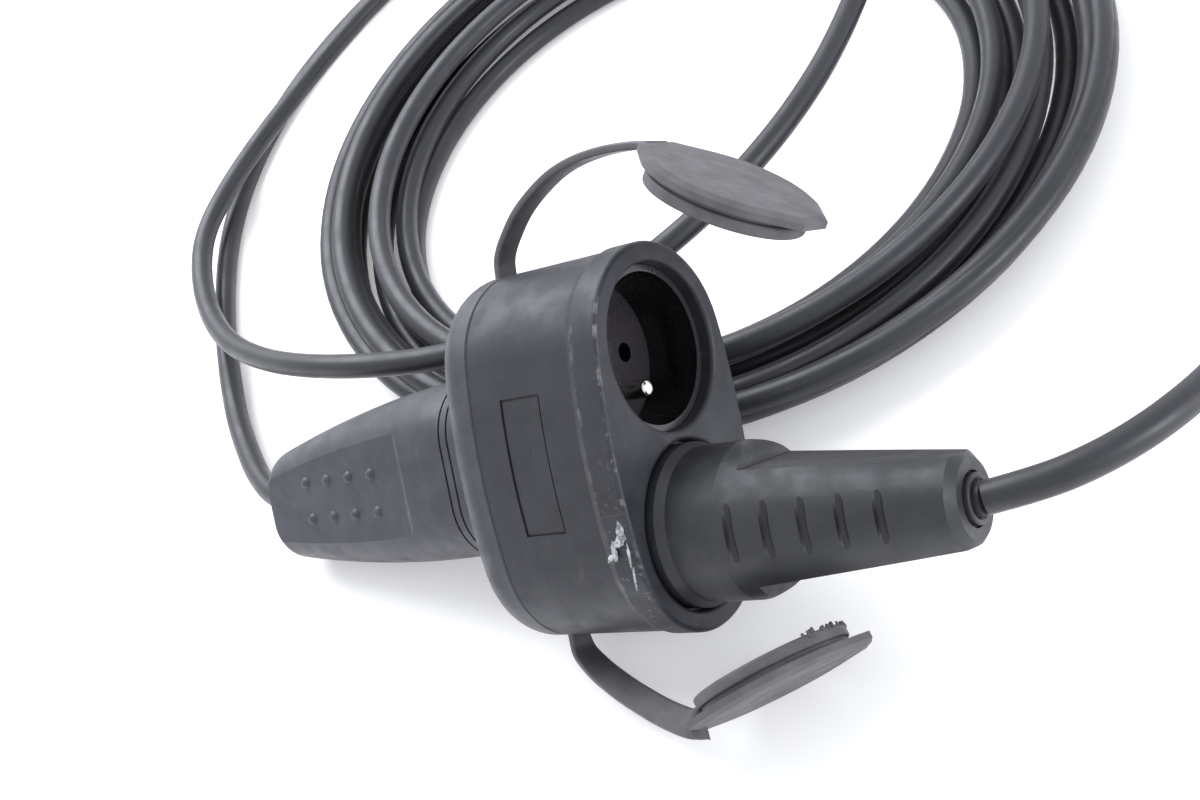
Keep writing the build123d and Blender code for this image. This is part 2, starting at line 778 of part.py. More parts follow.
with BuildPart() as plug_body:
    with BuildSketch(Plane.XZ):
        with BuildLine():
            Polyline(
                (plug_face, -half_pitch),
                (plug_face, -half_pitch + plug_nose_radius),
                (-mouth_depth + fit_gap, -half_pitch + plug_nose_radius),
                (-mouth_depth + fit_gap, -half_pitch + plug_collar_radius),
                (plug_collar_end, -half_pitch + plug_collar_radius),
                (plug_collar_end + plug_collar_slope, -half_pitch + plug_radius),
                (plug_base_end, -half_pitch + plug_radius),
                (plug_end, -half_pitch + plug_end_radius),
                (plug_end, -half_pitch),
                (plug_face, -half_pitch),
            )
        make_face()
    revolve(axis=plug_axis)
    chamfer(plug_body.edges().group_by(Axis.X)[-1], length=plug_end_chamfer)
    for side in (-1, 1):
        with BuildSketch(Plane.XZ):
            with BuildLine():
                shoulder_start = (plug_base_end, -half_pitch + side * (plug_radius + 0.01))
                shoulder_end = (
                    plug_base_end + plug_shoulder_length,
                    -half_pitch + side * flat_height(plug_base_end + plug_shoulder_length) / 2,
                )
                flat_end = (plug_end + 1, -half_pitch + side * flat_height(plug_end + 1) / 2)
                outside = -half_pitch + side * (plug_radius + 5)
                RadiusArc(shoulder_start, shoulder_end, side * 1.15 * plug_shoulder_length)
                Line(shoulder_end, flat_end)
                Polyline(flat_end, (plug_end + 1, outside), (plug_base_end, outside), shoulder_start)
            make_face()
        extrude(amount=2 * plug_radius, both=True, mode=Mode.SUBTRACT)
    add(grip_slots.part, mode=Mode.SUBTRACT)
    with BuildSketch(Plane.XZ):
        with BuildLine():
            Polyline(
                (plug_face - 1, -half_pitch),
                (plug_face - 1, -half_pitch + plug_core_radius + pin_gap),
                (plug_face + plug_core_length, -half_pitch + plug_core_radius + pin_gap),
                (plug_face + plug_core_length, -half_pitch + plug_core_radius - 2),
                (plug_base_end, -half_pitch + plug_room_radius),
                (plug_room_end, -half_pitch + cord_radius + 1),
                (plug_room_end, -half_pitch + cord_radius + pin_gap),
                (plug_end + 1, -half_pitch + cord_radius + pin_gap),
                (plug_end + 1, -half_pitch),
                (plug_face - 1, -half_pitch),
            )
        make_face()
    revolve(axis=plug_axis, mode=Mode.SUBTRACT)
    with BuildSketch(across(plug_face)):
        with Locations((0, -half_pitch)):
            with GridLocations(1, 2 * plug_nose_radius, 1, 2):
                Rectangle(clip_width + fit_gap, 4 * clip_thickness)
    extrude(amount=plug_core_length, mode=Mode.SUBTRACT)
    with BuildSketch(across(plug_end)):
        with Locations((0, -half_pitch)):
            Circle(gland_radius + gland_gap)
    extrude(amount=-gland_seat, mode=Mode.SUBTRACT)
plug_body.part.label = "plug_body"
export_step(plug_body.part.moved(rest), "parts/plug_body.step")

with BuildPart() as plug_core:
    with BuildSketch(across(plug_face)):
        with Locations((0, -half_pitch)):
            Circle(plug_core_radius)
            with GridLocations(pin_spacing, 1, 2, 1):
                Circle(pin_radius + pin_gap, mode=Mode.SUBTRACT)
        with Locations((0, -half_pitch - earth_pin_offset)):
            Circle(earth_pin_radius + 2 * sleeve_wall, mode=Mode.SUBTRACT)
    extrude(amount=plug_core_length)
plug_core.part.label = "plug_pin_carrier"
export_step(plug_core.part.moved(rest), "parts/plug_pin_carrier.step")

pin_tail = plug_face + plug_core_length + 3


def plug_pin(y):
    with BuildPart() as pin:
        with BuildSketch(across(plug_face - pin_length)):
            with Locations((y, -half_pitch)):
                Circle(pin_radius)
        extrude(amount=pin_length + pin_tail - plug_face)
        fillet(pin.edges().group_by(Axis.X)[0], radius=pin_radius / 2)
    return pin


plug_live_pin = plug_pin(pin_spacing / 2)
plug_live_pin.part.label = "plug_live_pin"
export_step(plug_live_pin.part.moved(rest), "parts/plug_live_pin.step")

plug_neutral_pin = plug_pin(-pin_spacing / 2)
plug_neutral_pin.part.label = "plug_neutral_pin"
export_step(plug_neutral_pin.part.moved(rest), "parts/plug_neutral_pin.step")

with BuildPart() as plug_earth_socket:
    with BuildSketch(across(plug_face + 1)):
        with Locations((0, -half_pitch - earth_pin_offset)):
            Circle(earth_pin_radius + 2 * sleeve_wall - pin_gap)
    extrude(amount=pin_tail - plug_face - 1)
    with BuildSketch(across(plug_face + 1)):
        with Locations((0, -half_pitch - earth_pin_offset)):
            Circle(earth_pin_radius + sleeve_wall)
    extrude(amount=-earth_pin_setback + fit_gap + 1 - plug_face - 1, mode=Mode.SUBTRACT)
plug_earth_socket.part.label = "plug_earth_socket"
export_step(plug_earth_socket.part.moved(rest), "parts/plug_earth_socket.step")

with BuildPart() as plug_earth_clips:
    with BuildSketch(across(plug_face + 2)):
        with Locations((0, -half_pitch)):
            with GridLocations(1, 2 * (plug_nose_radius - clip_thickness), 1, 2):
                Rectangle(clip_width, clip_thickness)
    extrude(amount=plug_core_length - 2)
plug_earth_clips.part.label = "plug_earth_clips"
export_step(plug_earth_clips.part.moved(rest), "parts/plug_earth_clips.step")

sheath_start = Vector(plug_room_end, 0, -half_pitch)


def plug_wire(start, place):
    side, up = wire_places[place]
    return wire(start, sheath_start + Vector(0, side, up), 7)


plug_live_wire = plug_wire(Vector(pin_tail, pin_spacing / 2, -half_pitch), "live")
plug_live_wire.part.label = "plug_live_wire"
export_step(plug_live_wire.part.moved(rest), "parts/plug_live_wire.step")

plug_neutral_wire = plug_wire(Vector(pin_tail, -pin_spacing / 2, -half_pitch), "neutral")
plug_neutral_wire.part.label = "plug_neutral_wire"
export_step(plug_neutral_wire.part.moved(rest), "parts/plug_neutral_wire.step")

plug_earth_wire = plug_wire(Vector(pin_tail, 0, -half_pitch - earth_pin_offset), "earth")
plug_earth_wire.part.label = "plug_earth_wire"
export_step(plug_earth_wire.part.moved(rest), "parts/plug_earth_wire.step")

with BuildPart() as plug_sheath:
    with BuildSketch(across(plug_room_end)):
        with Locations((0, -half_pitch)):
            Circle(cord_radius)
    extrude(amount=plug_end + sheath_showing - plug_room_end)
plug_sheath.part.label = "cord_end_in_plug"
export_step(plug_sheath.part.moved(rest), "parts/cord_end_in_plug.step")

with BuildPart() as plug_gland:
    with BuildSketch(across(plug_end - gland_seat)):
        with Locations((0, -half_pitch)):
            Circle(gland_radius)
            Circle(cord_radius + pin_gap, mode=Mode.SUBTRACT)
    extrude(amount=gland_length)
    rims = plug_gland.edges().group_by(Axis.X)[-1].sort_by(SortBy.RADIUS)
    chamfer(rims[0], length=gland_mouth)
    fillet(plug_gland.edges().group_by(Axis.X)[-1].sort_by(SortBy.RADIUS)[-1], radius=gland_rounding)
plug_gland.part.label = "plug_gland"
export_step(plug_gland.part.moved(rest), "parts/plug_gland.step")

# Cord outside: the points of each free stretch, from the housing's or the plug's end to the coil
handle_exit = (rest * Location(cord_exit)).position
plug_exit = (rest * Location((plug_end + sheath_showing, 0, -half_pitch))).position
handle_route = [
    handle_exit,
    (-110.3, 3.8, 12.0),
    (-123.8, 11.8, 9.2),
    (-137.3, 23.8, 6.6),
    (-152.3, 39.8, 5.0),
    (-166.3, 58.8, 4.2),
    (-179.3, 78.8, 4.0),
    (-191.3, 100.8, 4.0),
    (-202.3, 124.8, 4.0),
    (-210.3, 151.8, 4.0),
    (-214.3, 183.8, 4.0),
    (-211.3, 221.8, 4.0),
    (-200.3, 259.8, 4.0),
    (-181.3, 293.8, 4.0),
    (-155.3, 320.8, 4.0),
    (-121.3, 336.8, 4.0),
    (-84.3, 340.8, 4.0),
    (-47.3, 333.8, 5.0),
    (-13.3, 319.8, 7.0),
    (12.7, 305.8, 9.0),
]
loose_route = [
    (-25.3, 303.8, 14),
    (7.7, 295.8, 22),
    (35.7, 273.8, 31),
    (53.7, 239.8, 36),
    (58.7, 201.8, 38),
    (54.7, 164.8, 38),
    (47.7, 137.8, 38),
    (37.7, 113.8, 38),
    (23.7, 91.8, 37),
    (4.7, 70.8, 36),
    (-19.3, 52.8, 36),
    (-47.3, 42.8, 36),
    (-75.3, 39.8, 36),
    (-103.3, 42.8, 32),
    (-131.3, 50.8, 25),
    (-158.3, 62.8, 19),
    (-180.3, 80.8, 16),
    (-196.3, 101.8, 15),
    (-205.3, 121.8, 15),
    (-206.3, 144.8, 15),
    (-203.3, 169.8, 15),
    (-198.3, 198.8, 14),
    (-191.3, 230.8, 13),
    (-179.3, 263.8, 13),
    (-159.3, 291.8, 13),
    (-131.3, 311.8, 13),
    (-99.3, 319.8, 14),
    (-67.3, 318.8, 14),
    (-39.3, 311.8, 14),
]
plug_route = [
    plug_exit,
    (142.6, -10, 58.6),
    (153.1, -4.2, 58.8),
    (162, 3.8, 57.5),
    (169, 13.1, 54.8),
    (175.2, 24.8, 50.2),
    (181.7, 41.8, 43),
    (188.7, 65.8, 32.5),
    (194.7, 90.8, 22),
    (199.7, 116.8, 12.5),
    (202.7, 143.8, 5.5),
    (202.7, 173.8, 4.0),
    (197.7, 204.8, 4.0),
    (186.7, 235.8, 4.0),
    (169.7, 263.8, 4.0),
    (146.7, 287.8, 4.5),
    (117.7, 303.8, 6),
    (85.7, 309.8, 8),
    (53.7, 305.8, 10),
    (24.7, 296.8, 12),
]


def cord_tube(points):
    """A tube along straight runs, with an arc at each point as large as its two runs allow."""
    stops = [Vector(*point) for point in points]
    radii = []
    for before, corner, after in zip(stops, stops[1:], stops[2:]):
        turn = radians((corner - before).get_angle(after - corner))
        shorter = min((corner - before).length, (after - corner).length)
        radii.append(0.45 * shorter / tan(turn / 2))
    print("bend radii", [round(radius) for radius in radii])
    with BuildPart() as tube:
        with BuildLine() as route:
            FilletPolyline(*stops, radius=radii)
        with BuildSketch(Plane(origin=stops[0], z_dir=stops[1] - stops[0])):
            Circle(cord_radius)
        sweep(path=route.wires()[0])
    path = route.wires()[0].length
    print("length", round(path, 1), "volume share", tube.part.volume / (path * pi * cord_radius**2))
    return tube


handle_run = cord_tube(handle_route)
handle_run.part.label = "cord_handle_run"
export_step(handle_run.part, "parts/cord_handle_run.step")

loose_turn = cord_tube(loose_route)
loose_turn.part.label = "cord_loose_turn"
export_step(loose_turn.part, "parts/cord_loose_turn.step")

plug_run = cord_tube(plug_route)
plug_run.part.label = "cord_plug_run"
export_step(plug_run.part, "parts/cord_plug_run.step")

# Coil: the outer shape of the wound turns, which fan out on the far side
with BuildPart() as cord_coil:
    with BuildSketch(Plane.XY):
        with Locations(coil_outer_middle):
            Circle(coil_outer_radius)
        with Locations(coil_inner_middle):
            Circle(coil_inner_radius, mode=Mode.SUBTRACT)
    extrude(amount=coil_height)
    fillet(cord_coil.edges().group_by(Axis.Z)[-1], radius=coil_edge_rounding)
    fillet(cord_coil.edges().group_by(Axis.Z)[0], radius=cord_radius)
cord_coil.part.label = "cord_coil"
export_step(cord_coil.part, "parts/cord_coil.step")
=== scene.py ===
"""Studio dress for the rubber extension lead: its wound cord, cap straps, wear and finishes.

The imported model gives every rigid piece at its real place. This add-on lays the cord along its route,
bends the cap straps, adds the torn and flashed edges, and gives each surface its finish.
"""
from math import cos, pi, radians, sin

import bmesh
import bpy
from bpy.props import FloatProperty, FloatVectorProperty, IntProperty, PointerProperty
from mathutils import Matrix, Vector, noise


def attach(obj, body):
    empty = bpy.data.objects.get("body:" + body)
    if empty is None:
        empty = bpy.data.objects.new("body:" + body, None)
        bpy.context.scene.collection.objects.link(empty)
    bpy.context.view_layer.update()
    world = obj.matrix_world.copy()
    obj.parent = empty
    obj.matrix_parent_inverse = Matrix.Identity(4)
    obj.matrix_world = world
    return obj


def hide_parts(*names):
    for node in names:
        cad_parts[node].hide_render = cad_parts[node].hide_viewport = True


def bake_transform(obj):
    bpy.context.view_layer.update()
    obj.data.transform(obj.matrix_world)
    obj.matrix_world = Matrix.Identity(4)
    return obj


bl_info = {
    "name": "Extension Lead Studio",
    "version": (1, 0, 0),
    "blender": (4, 5, 0),
    "location": "View3D > Sidebar > Lead",
    "description": "Lays the cord, bends the cap straps and finishes the rubber of an extension lead",
    "category": "Object",
}

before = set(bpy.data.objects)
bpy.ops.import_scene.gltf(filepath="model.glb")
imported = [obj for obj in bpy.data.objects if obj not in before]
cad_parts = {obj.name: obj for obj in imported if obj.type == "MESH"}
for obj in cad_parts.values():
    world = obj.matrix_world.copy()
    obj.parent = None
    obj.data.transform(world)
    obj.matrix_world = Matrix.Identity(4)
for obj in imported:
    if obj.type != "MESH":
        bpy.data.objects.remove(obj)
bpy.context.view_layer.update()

MM = 0.001

# The housing's own axes at rest: forward along the sockets, sideways, and up from socket to socket
FACE_MIDDLE = Vector((0.05103, 0.00381, 0.05423))
FORWARD = Vector((0.97237, 0.0, 0.23345))
SIDEWAYS = Vector((0.16877, 0.69088, -0.70299))
UPWARD = Vector((-0.16128, 0.72297, 0.67179))

# The cord's free stretches, from the handle or the plug to the coil, in metres
HANDLE_ROUTE = [
    (-0.09794, 0.00034, 0.01506),
    (-0.1103, 0.0038, 0.012),
    (-0.1238, 0.0118, 0.0092),
    (-0.1373, 0.0238, 0.0066),
    (-0.1523, 0.0398, 0.005),
    (-0.1663, 0.0588, 0.0042),
    (-0.1793, 0.0788, 0.004),
    (-0.1913, 0.1008, 0.004),
    (-0.2023, 0.1248, 0.004),
    (-0.2103, 0.1518, 0.004),
    (-0.2143, 0.1838, 0.004),
    (-0.2113, 0.2218, 0.004),
    (-0.2003, 0.2598, 0.004),
    (-0.1813, 0.2938, 0.004),
    (-0.1553, 0.3208, 0.004),
    (-0.1213, 0.3368, 0.004),
    (-0.0843, 0.3408, 0.004),
    (-0.0473, 0.3338, 0.005),
    (-0.0133, 0.3198, 0.007),
    (0.0127, 0.3058, 0.009),
]
LOOSE_ROUTE = [
    (-0.0253, 0.3038, 0.014),
    (0.0077, 0.2958, 0.022),
    (0.0357, 0.2738, 0.031),
    (0.0537, 0.2398, 0.036),
    (0.0587, 0.2018, 0.038),
    (0.0547, 0.1648, 0.038),
    (0.0477, 0.1378, 0.038),
    (0.0377, 0.1138, 0.038),
    (0.0237, 0.0918, 0.037),
    (0.0047, 0.0708, 0.036),
    (-0.0193, 0.0528, 0.036),
    (-0.0473, 0.0428, 0.036),
    (-0.0753, 0.0398, 0.036),
    (-0.1033, 0.0428, 0.032),
    (-0.1313, 0.0508, 0.025),
    (-0.1583, 0.0628, 0.019),
    (-0.1803, 0.0808, 0.016),
    (-0.1963, 0.1018, 0.015),
    (-0.2053, 0.1218, 0.015),
    (-0.2063, 0.1448, 0.015),
    (-0.2033, 0.1698, 0.015),
    (-0.1983, 0.1988, 0.014),
    (-0.1913, 0.2308, 0.013),
    (-0.1793, 0.2638, 0.013),
    (-0.1593, 0.2918, 0.013),
    (-0.1313, 0.3118, 0.013),
    (-0.0993, 0.3198, 0.014),
    (-0.0673, 0.3188, 0.014),
    (-0.0393, 0.3118, 0.014),
]
PLUG_ROUTE = [
    (0.13103, -0.01307, 0.05684),
    (0.1426, -0.01, 0.0586),
    (0.1531, -0.0042, 0.0588),
    (0.162, 0.0038, 0.0575),
    (0.169, 0.0131, 0.0548),
    (0.1752, 0.0248, 0.0502),
    (0.1817, 0.0418, 0.043),
    (0.1887, 0.0658, 0.0325),
    (0.1947, 0.0908, 0.022),
    (0.1997, 0.1168, 0.0125),
    (0.2027, 0.1438, 0.0055),
    (0.2027, 0.1738, 0.004),
    (0.1977, 0.2048, 0.004),
    (0.1867, 0.2358, 0.004),
    (0.1697, 0.2638, 0.004),
    (0.1467, 0.2878, 0.0045),
    (0.1177, 0.3038, 0.006),
    (0.0857, 0.3098, 0.008),
    (0.0537, 0.3058, 0.010),
    (0.0247, 0.2968, 0.012),
]

# The wound turns: each lane is a share of the ring's width and a height in metres, one turn apart
COIL_INNER = (Vector((-0.0023, 0.1538)), 0.092)
COIL_OUTER = (Vector((-0.0123, 0.1738)), 0.152)
FIRST_LANES = [
    (0.80, 0.008),
    (0.68, 0.004),
    (0.36, 0.004),
    (0.04, 0.004),
    (0.18, 0.012),
    (0.50, 0.012),
    (0.82, 0.012),
    (0.95, 0.012),
    (0.55, 0.020),
    (0.14, 0.020),
]
LAST_LANES = [(0.92, 0.014), (0.64, 0.012)]
FIRST_START, FIRST_SWEEP = radians(62), radians(3184)
LAST_START, LAST_SWEEP = radians(79), radians(342)
# The side of the ring that fans out, and how far the turns gather outward on the other side
FAN_ANGLE = radians(-45)
GATHER = 0.3
# Turns that lie on others rise unevenly, by up to this much at the top of the pile
PILE_LIFT, PILE_TOP = 0.0012, 0.020

# The straps' middle lines in the housing's own frame, in millimetres, from the housing to the cap
UPPER_STRAP = [
    (-47.7, 0, 46),
    (-47.7, 0, 50.6),
    (-46.8, 0, 55.2),
    (-43.2, 0, 60.2),
    (-36.6, 0, 66.4),
    (-26.4, 0, 72.0),
    (-17.2, 0, 74.6),
    (-7.0, 0, 75.2),
    (3.0, 0, 74.3),
    (10.1, 0, 72.6),
]
LOWER_STRAP = [
    (-47.7, 0, -46),
    (-47.7, 0, -50.6),
    (-46.0, -0.8, -55.8),
    (-39.4, -3.8, -59.8),
    (-32.8, -6.5, -62.5),
    (-25.9, -9.5, -64.6),
    (-19.0, -12.5, -66.2),
    (-12.3, -15.5, -67.5),
    (-5.5, -18.5, -68.4),
    (1.4, -21.0, -69.0),
    (4.3, -19.4, -68.9),
]
# The way that the lower strap's width runs at each of its points: it twists to lie with its cap
LOWER_STRAP_WIDTHS = [
    (0, 1, 0),
    (0, 1, 0),
    (0.2, 0.95, 0.1),
    (0.45, 0.8, 0.3),
    (0.58, 0.66, 0.45),
    (0.6, 0.58, 0.55),
    (0.58, 0.52, 0.62),
    (0.54, 0.48, 0.69),
    (0.5, 0.45, 0.75),
    (0.45, 0.4, 0.8),
    (0.45, 0.4, 0.8),
]

# The lower cap as it lies: its middle, the way to the side that shows most, and the way it faces
LOWER_CAP_MIDDLE = (19.99, -7.22, -64.63)
LOWER_CAP_OUT = (0.7566, 0.5949, 0.2712)
LOWER_CAP_CROWN = (0.4144, -0.1156, -0.9027)
BEAD_RADIUS, BEAD_DEPTH = 20.7, 7.0
BURR_COUNT, FIRST_BURR, BURR_PITCH = 11, -14, 7.5

# Torn lumps on the housing's left side, in millimetres: forward, up, half height, half width, lean of the
# width, half thickness
SIDE_FACE = -28.3
NICK_LUMPS = [
    (-3.0, -18.2, 2.9, 1.1, 0.3, 0.35),
    (-4.2, -21.0, 1.2, 1.9, 0.8, 0.3),
    (-6.2, -23.4, 2.3, 0.7, -0.4, 0.3),
    (-1.9, -24.6, 2.6, 0.35, 0.1, 0.2),
    (-1.6, -30.2, 2.4, 0.3, 0.1, 0.2),
    (-7.6, -24.9, 0.7, 1.2, 0.5, 0.25),
]

# Where wear shows on the housing, as metres behind the face: the face's rounded edge, the step at the
# band's back, and the band
FACE_EDGE = (-0.0016, -0.0006)
BAND_STEP = (-0.0092, -0.0083, -0.0079, -0.0070)
BAND = (-0.0085, -0.007, -0.0012, -0.0002)
LEFT_EDGE = (-0.019, -0.024)

DUST = (0.16, 0.155, 0.16)
SCRATCH = (0.2, 0.195, 0.2)
CHAFED = (0.28, 0.28, 0.29)
CORD_DUST = (0.13, 0.13, 0.14)
TORN_DARK, TORN_PALE = (0.16, 0.165, 0.18), (0.5, 0.52, 0.56)
# The insert's walls get painted shade, near black; the faces that look out of the socket keep a lighter
# colour
INSERT_WALL_PAINTED_SHADE, INSERT_FLOOR = (0.004, 0.004, 0.004), (0.036, 0.031, 0.037)
PIN_PLATING = (0.80, 0.78, 0.74)
CONTACT_BRASS = (0.75, 0.55, 0.25)
SCREW_STEEL = (0.55, 0.55, 0.56)
WIRE_COLOURS = {"live": (0.19, 0.08, 0.03), "neutral": (0.04, 0.13, 0.42), "earth": (0.25, 0.42, 0.06)}

# The photograph's camera: where it stands and its own axes
LENS_MM, SENSOR_MM = 43.65, 36.0
CAMERA_SPOT = (0.20734, -0.18369, 0.33585)
CAMERA_RIGHT = (0.88273, 0.27682, -0.37968)
CAMERA_UP = (-0.00686, 0.81554, 0.57865)
CAMERA_BACK = (0.46983, -0.50819, 0.72181)

# Each light: where it hangs, what it points at, and its width in metres
KEY_LIGHT = ((-0.75, 0.6, 1.0), (0.0, 0.06, 0.0), 1.3)
SIDE_LIGHT = ((1.1, 0.0, 0.4), (0.1, 0.0, 0.05), 0.5)
LIGHT_COLOUR = (0.90, 0.93, 1.0)
SKY_COLOUR = (0.97, 0.98, 1.0, 1.0)
FLOOR_COLOUR = (0.9, 0.9, 0.905, 1.0)
FLOOR_GLOW = 0.25


def direction(x, y, z):
    """A direction of the housing's own frame, with its length."""
    return FORWARD * x + SIDEWAYS * y + UPWARD * z


def place(x, y, z):
    """A point of the housing's own frame, given in millimetres, at rest on the table."""
    return FACE_MIDDLE + direction(x, y, z) * MM


class CordSettings(bpy.types.PropertyGroup):
    """Sizes and finish of the cord"""

    diameter: FloatProperty(
        name="Diameter", description="Across the sheath", default=0.008, min=0.004, unit="LENGTH"
    )
    length: FloatProperty(
        name="Length", description="From the handle to the plug", default=10.0, min=1.0, unit="LENGTH"
    )
    points_per_turn: IntProperty(
        name="Points per turn", description="Control points in each wound turn", default=16, min=12
    )
    wander: FloatProperty(
        name="Wander", description="How unevenly the turns lie, as a share of the ring", default=0.05
    )
    fan: FloatProperty(
        name="Fan", description="How far the turns spread near the plug, as a share of the ring",
        default=0.5,
    )
    colour: FloatVectorProperty(
        name="Colour", description="Sheath", subtype="COLOR", size=3, default=(0.017, 0.018, 0.023)
    )


class RubberSettings(bpy.types.PropertyGroup):
    """Colours of the moulded rubber"""

    housing: FloatVectorProperty(
        name="Housing", description="Socket housing", subtype="COLOR", size=3,
        default=(0.018, 0.019, 0.026),
    )
    handle: FloatVectorProperty(
        name="Handle", description="Rear cover and handle", subtype="COLOR", size=3,
        default=(0.040, 0.041, 0.052),
    )
    plug: FloatVectorProperty(
        name="Plug", description="Plug body", subtype="COLOR", size=3, default=(0.017, 0.018, 0.022)
    )
    caps: FloatVectorProperty(
        name="Caps", description="Caps and straps", subtype="COLOR", size=3,
        default=(0.082, 0.076, 0.084),
    )
    scuffs: FloatProperty(
        name="Scuffs", description="How much the wear shows", default=0.5, min=0.0, max=1.0,
        subtype="FACTOR",
    )


class StrapSettings(bpy.types.PropertyGroup):
    """Sizes of the two cap straps"""

    width: FloatProperty(name="Width", description="Across the band", default=0.0075, unit="LENGTH")
    thickness: FloatProperty(
        name="Thickness", description="Through the band", default=0.0022, unit="LENGTH"
    )


class StudioSettings(bpy.types.PropertyGroup):
    """Floor and lights"""

    floor_size: FloatProperty(
        name="Floor", description="Side of the pale floor", default=40.0, min=1.0, unit="LENGTH"
    )
    key_power: FloatProperty(
        name="Key light", description="Large soft light above", default=23.0, min=0.0, unit="POWER"
    )
    side_power: FloatProperty(
        name="Side light", description="Soft light on the sockets' face", default=6.0, min=0.0,
        unit="POWER",
    )
    sky: FloatProperty(
        name="Sky", description="Brightness of the white surroundings", default=1.0, min=0.0
    )


class Finish:
    """One procedural material. Each method adds a node and returns its output."""

    def __init__(self, name, **sockets):
        self.material = bpy.data.materials.new(name)
        self.material.use_nodes = True
        self.tree = self.material.node_tree
        self.shader = self.tree.nodes["Principled BSDF"]
        for socket, value in sockets.items():
            self.shader.inputs[socket.replace("_", " ")].default_value = value
        self.spot = self.tree.nodes.new("ShaderNodeTexCoord").outputs["Object"]

    def node(self, kind, inputs, **options):
        made = self.tree.nodes.new("ShaderNode" + kind)
        for option, value in options.items():
            setattr(made, option, value)
        for socket, value in inputs.items():
            if isinstance(value, bpy.types.NodeSocket):
                self.tree.links.new(value, made.inputs[socket])
            else:
                made.inputs[socket].default_value = value
        return made

    def noise(self, scale, detail=4.0, roughness=0.55, spot=None, distortion=0.0):
        return self.node(
            "TexNoise",
            {"Vector": spot or self.spot, "Scale": scale, "Detail": detail, "Roughness": roughness,
             "Distortion": distortion},
        ).outputs["Fac"]

    def stretched(self, scale, rotation=(0.0, 0.0, 0.0)):
        return self.node(
            "Mapping", {"Vector": self.spot, "Scale": scale, "Rotation": rotation}
        ).outputs["Vector"]

    def ramp(self, factor, low, high, at_low=0.0, at_high=1.0):
        """A smooth step from at_low to at_high as factor goes from low to high."""
        return self.node(
            "MapRange",
            {"Value": factor, "From Min": low, "From Max": high, "To Min": at_low, "To Max": at_high},
            interpolation_type="SMOOTHSTEP",
        ).outputs["Result"]

    def math(self, operation, first, second=0.0):
        return self.node("Math", {0: first, 1: second}, operation=operation).outputs[0]

    def product(self, first, *others):
        for other in others:
            first = self.math("MULTIPLY", first, other)
        return first

    def window(self, factor, low, rise, fall, high):
        """One between rise and fall, and nothing below low or above high."""
        return self.product(self.ramp(factor, low, rise), self.ramp(factor, high, fall))

    def dot(self, vector, axis):
        return self.node(
            "VectorMath", {0: vector, 1: tuple(axis)}, operation="DOT_PRODUCT"
        ).outputs["Value"]

    def along(self, axis):
        """How far a spot lies along an axis from the middle of the face, in metres."""
        return self.math("SUBTRACT", self.dot(self.spot, axis), axis.dot(FACE_MIDDLE))

    def facing(self):
        """How squarely the surface faces the way that the sockets do."""
        return self.dot(self.node("NewGeometry", {}).outputs["Normal"], FORWARD)

    def blend(self, factor, first, second):
        """The first colour, or the second where the factor is one."""
        first, second = ((*part, 1.0) if isinstance(part, tuple) else part for part in (first, second))
        return self.node(
            "Mix", {"Factor": factor, "A": first, "B": second}, data_type="RGBA"
        ).outputs["Result"]

    def bump(self, height, strength, distance, normal=None):
        inputs = {"Height": height, "Strength": strength, "Distance": distance}
        if normal is not None:
            inputs["Normal"] = normal
        return self.node("Bump", inputs).outputs["Normal"]

    def set(self, socket, value):
        self.tree.links.new(value, self.shader.inputs[socket])


def colour_shades(colour, darker=0.82, lighter=1.25):
    """A darker and a lighter shade of a colour."""
    return tuple(part * darker for part in colour), tuple(part * lighter for part in colour)


def rubber_finish(name, colour, grain=1.0, scuffs=0.5, roughness=0.5, edge_wear=False):
    """Moulded rubber: cloudy shade, fine matt grain, stray scratches and, on request, a worn edge."""
    rubber = Finish(name, Roughness=roughness, Specular_IOR_Level=0.5)
    dark, light = colour_shades(colour)
    clouds = rubber.ramp(rubber.noise(110.0, 6.0, 0.65), 0.3, 0.7)
    shade = rubber.blend(clouds, dark, light)
    dust = rubber.ramp(rubber.noise(700.0, 3.0, 0.7), 0.62, 0.80, 0.0, 0.35 * scuffs)
    shade = rubber.blend(dust, shade, DUST)
    for turn, scale in ((0.5, (60.0, 1500.0, 60.0)), (1.9, (900.0, 40.0, 50.0))):
        streaks = rubber.noise(1.0, 2.0, 0.5, rubber.stretched(scale, (0.3, turn, turn)), 0.4)
        rare = rubber.ramp(rubber.noise(45.0, 2.0), 0.55, 0.68)
        scratch = rubber.product(rubber.ramp(streaks, 0.68, 0.74), rare, 0.5 * scuffs)
        shade = rubber.blend(scratch, shade, SCRATCH)
    if edge_wear:
        shade = worn_edge(rubber, shade, scuffs)
    rubber.set("Base Color", shade)
    smears = rubber.noise(140.0, 4.0)
    rubber.set("Roughness", rubber.ramp(smears, 0.3, 0.7, roughness - 0.07, roughness + 0.1))
    grain_height = rubber.noise(2600.0, 2.0, 0.6)
    wave_height = rubber.noise(90.0, 3.0, 0.5)
    normal = rubber.bump(wave_height, 0.08 * grain, 0.0006)
    rubber.set("Normal", rubber.bump(grain_height, 0.22 * grain, 0.00012, normal))
    return rubber.material


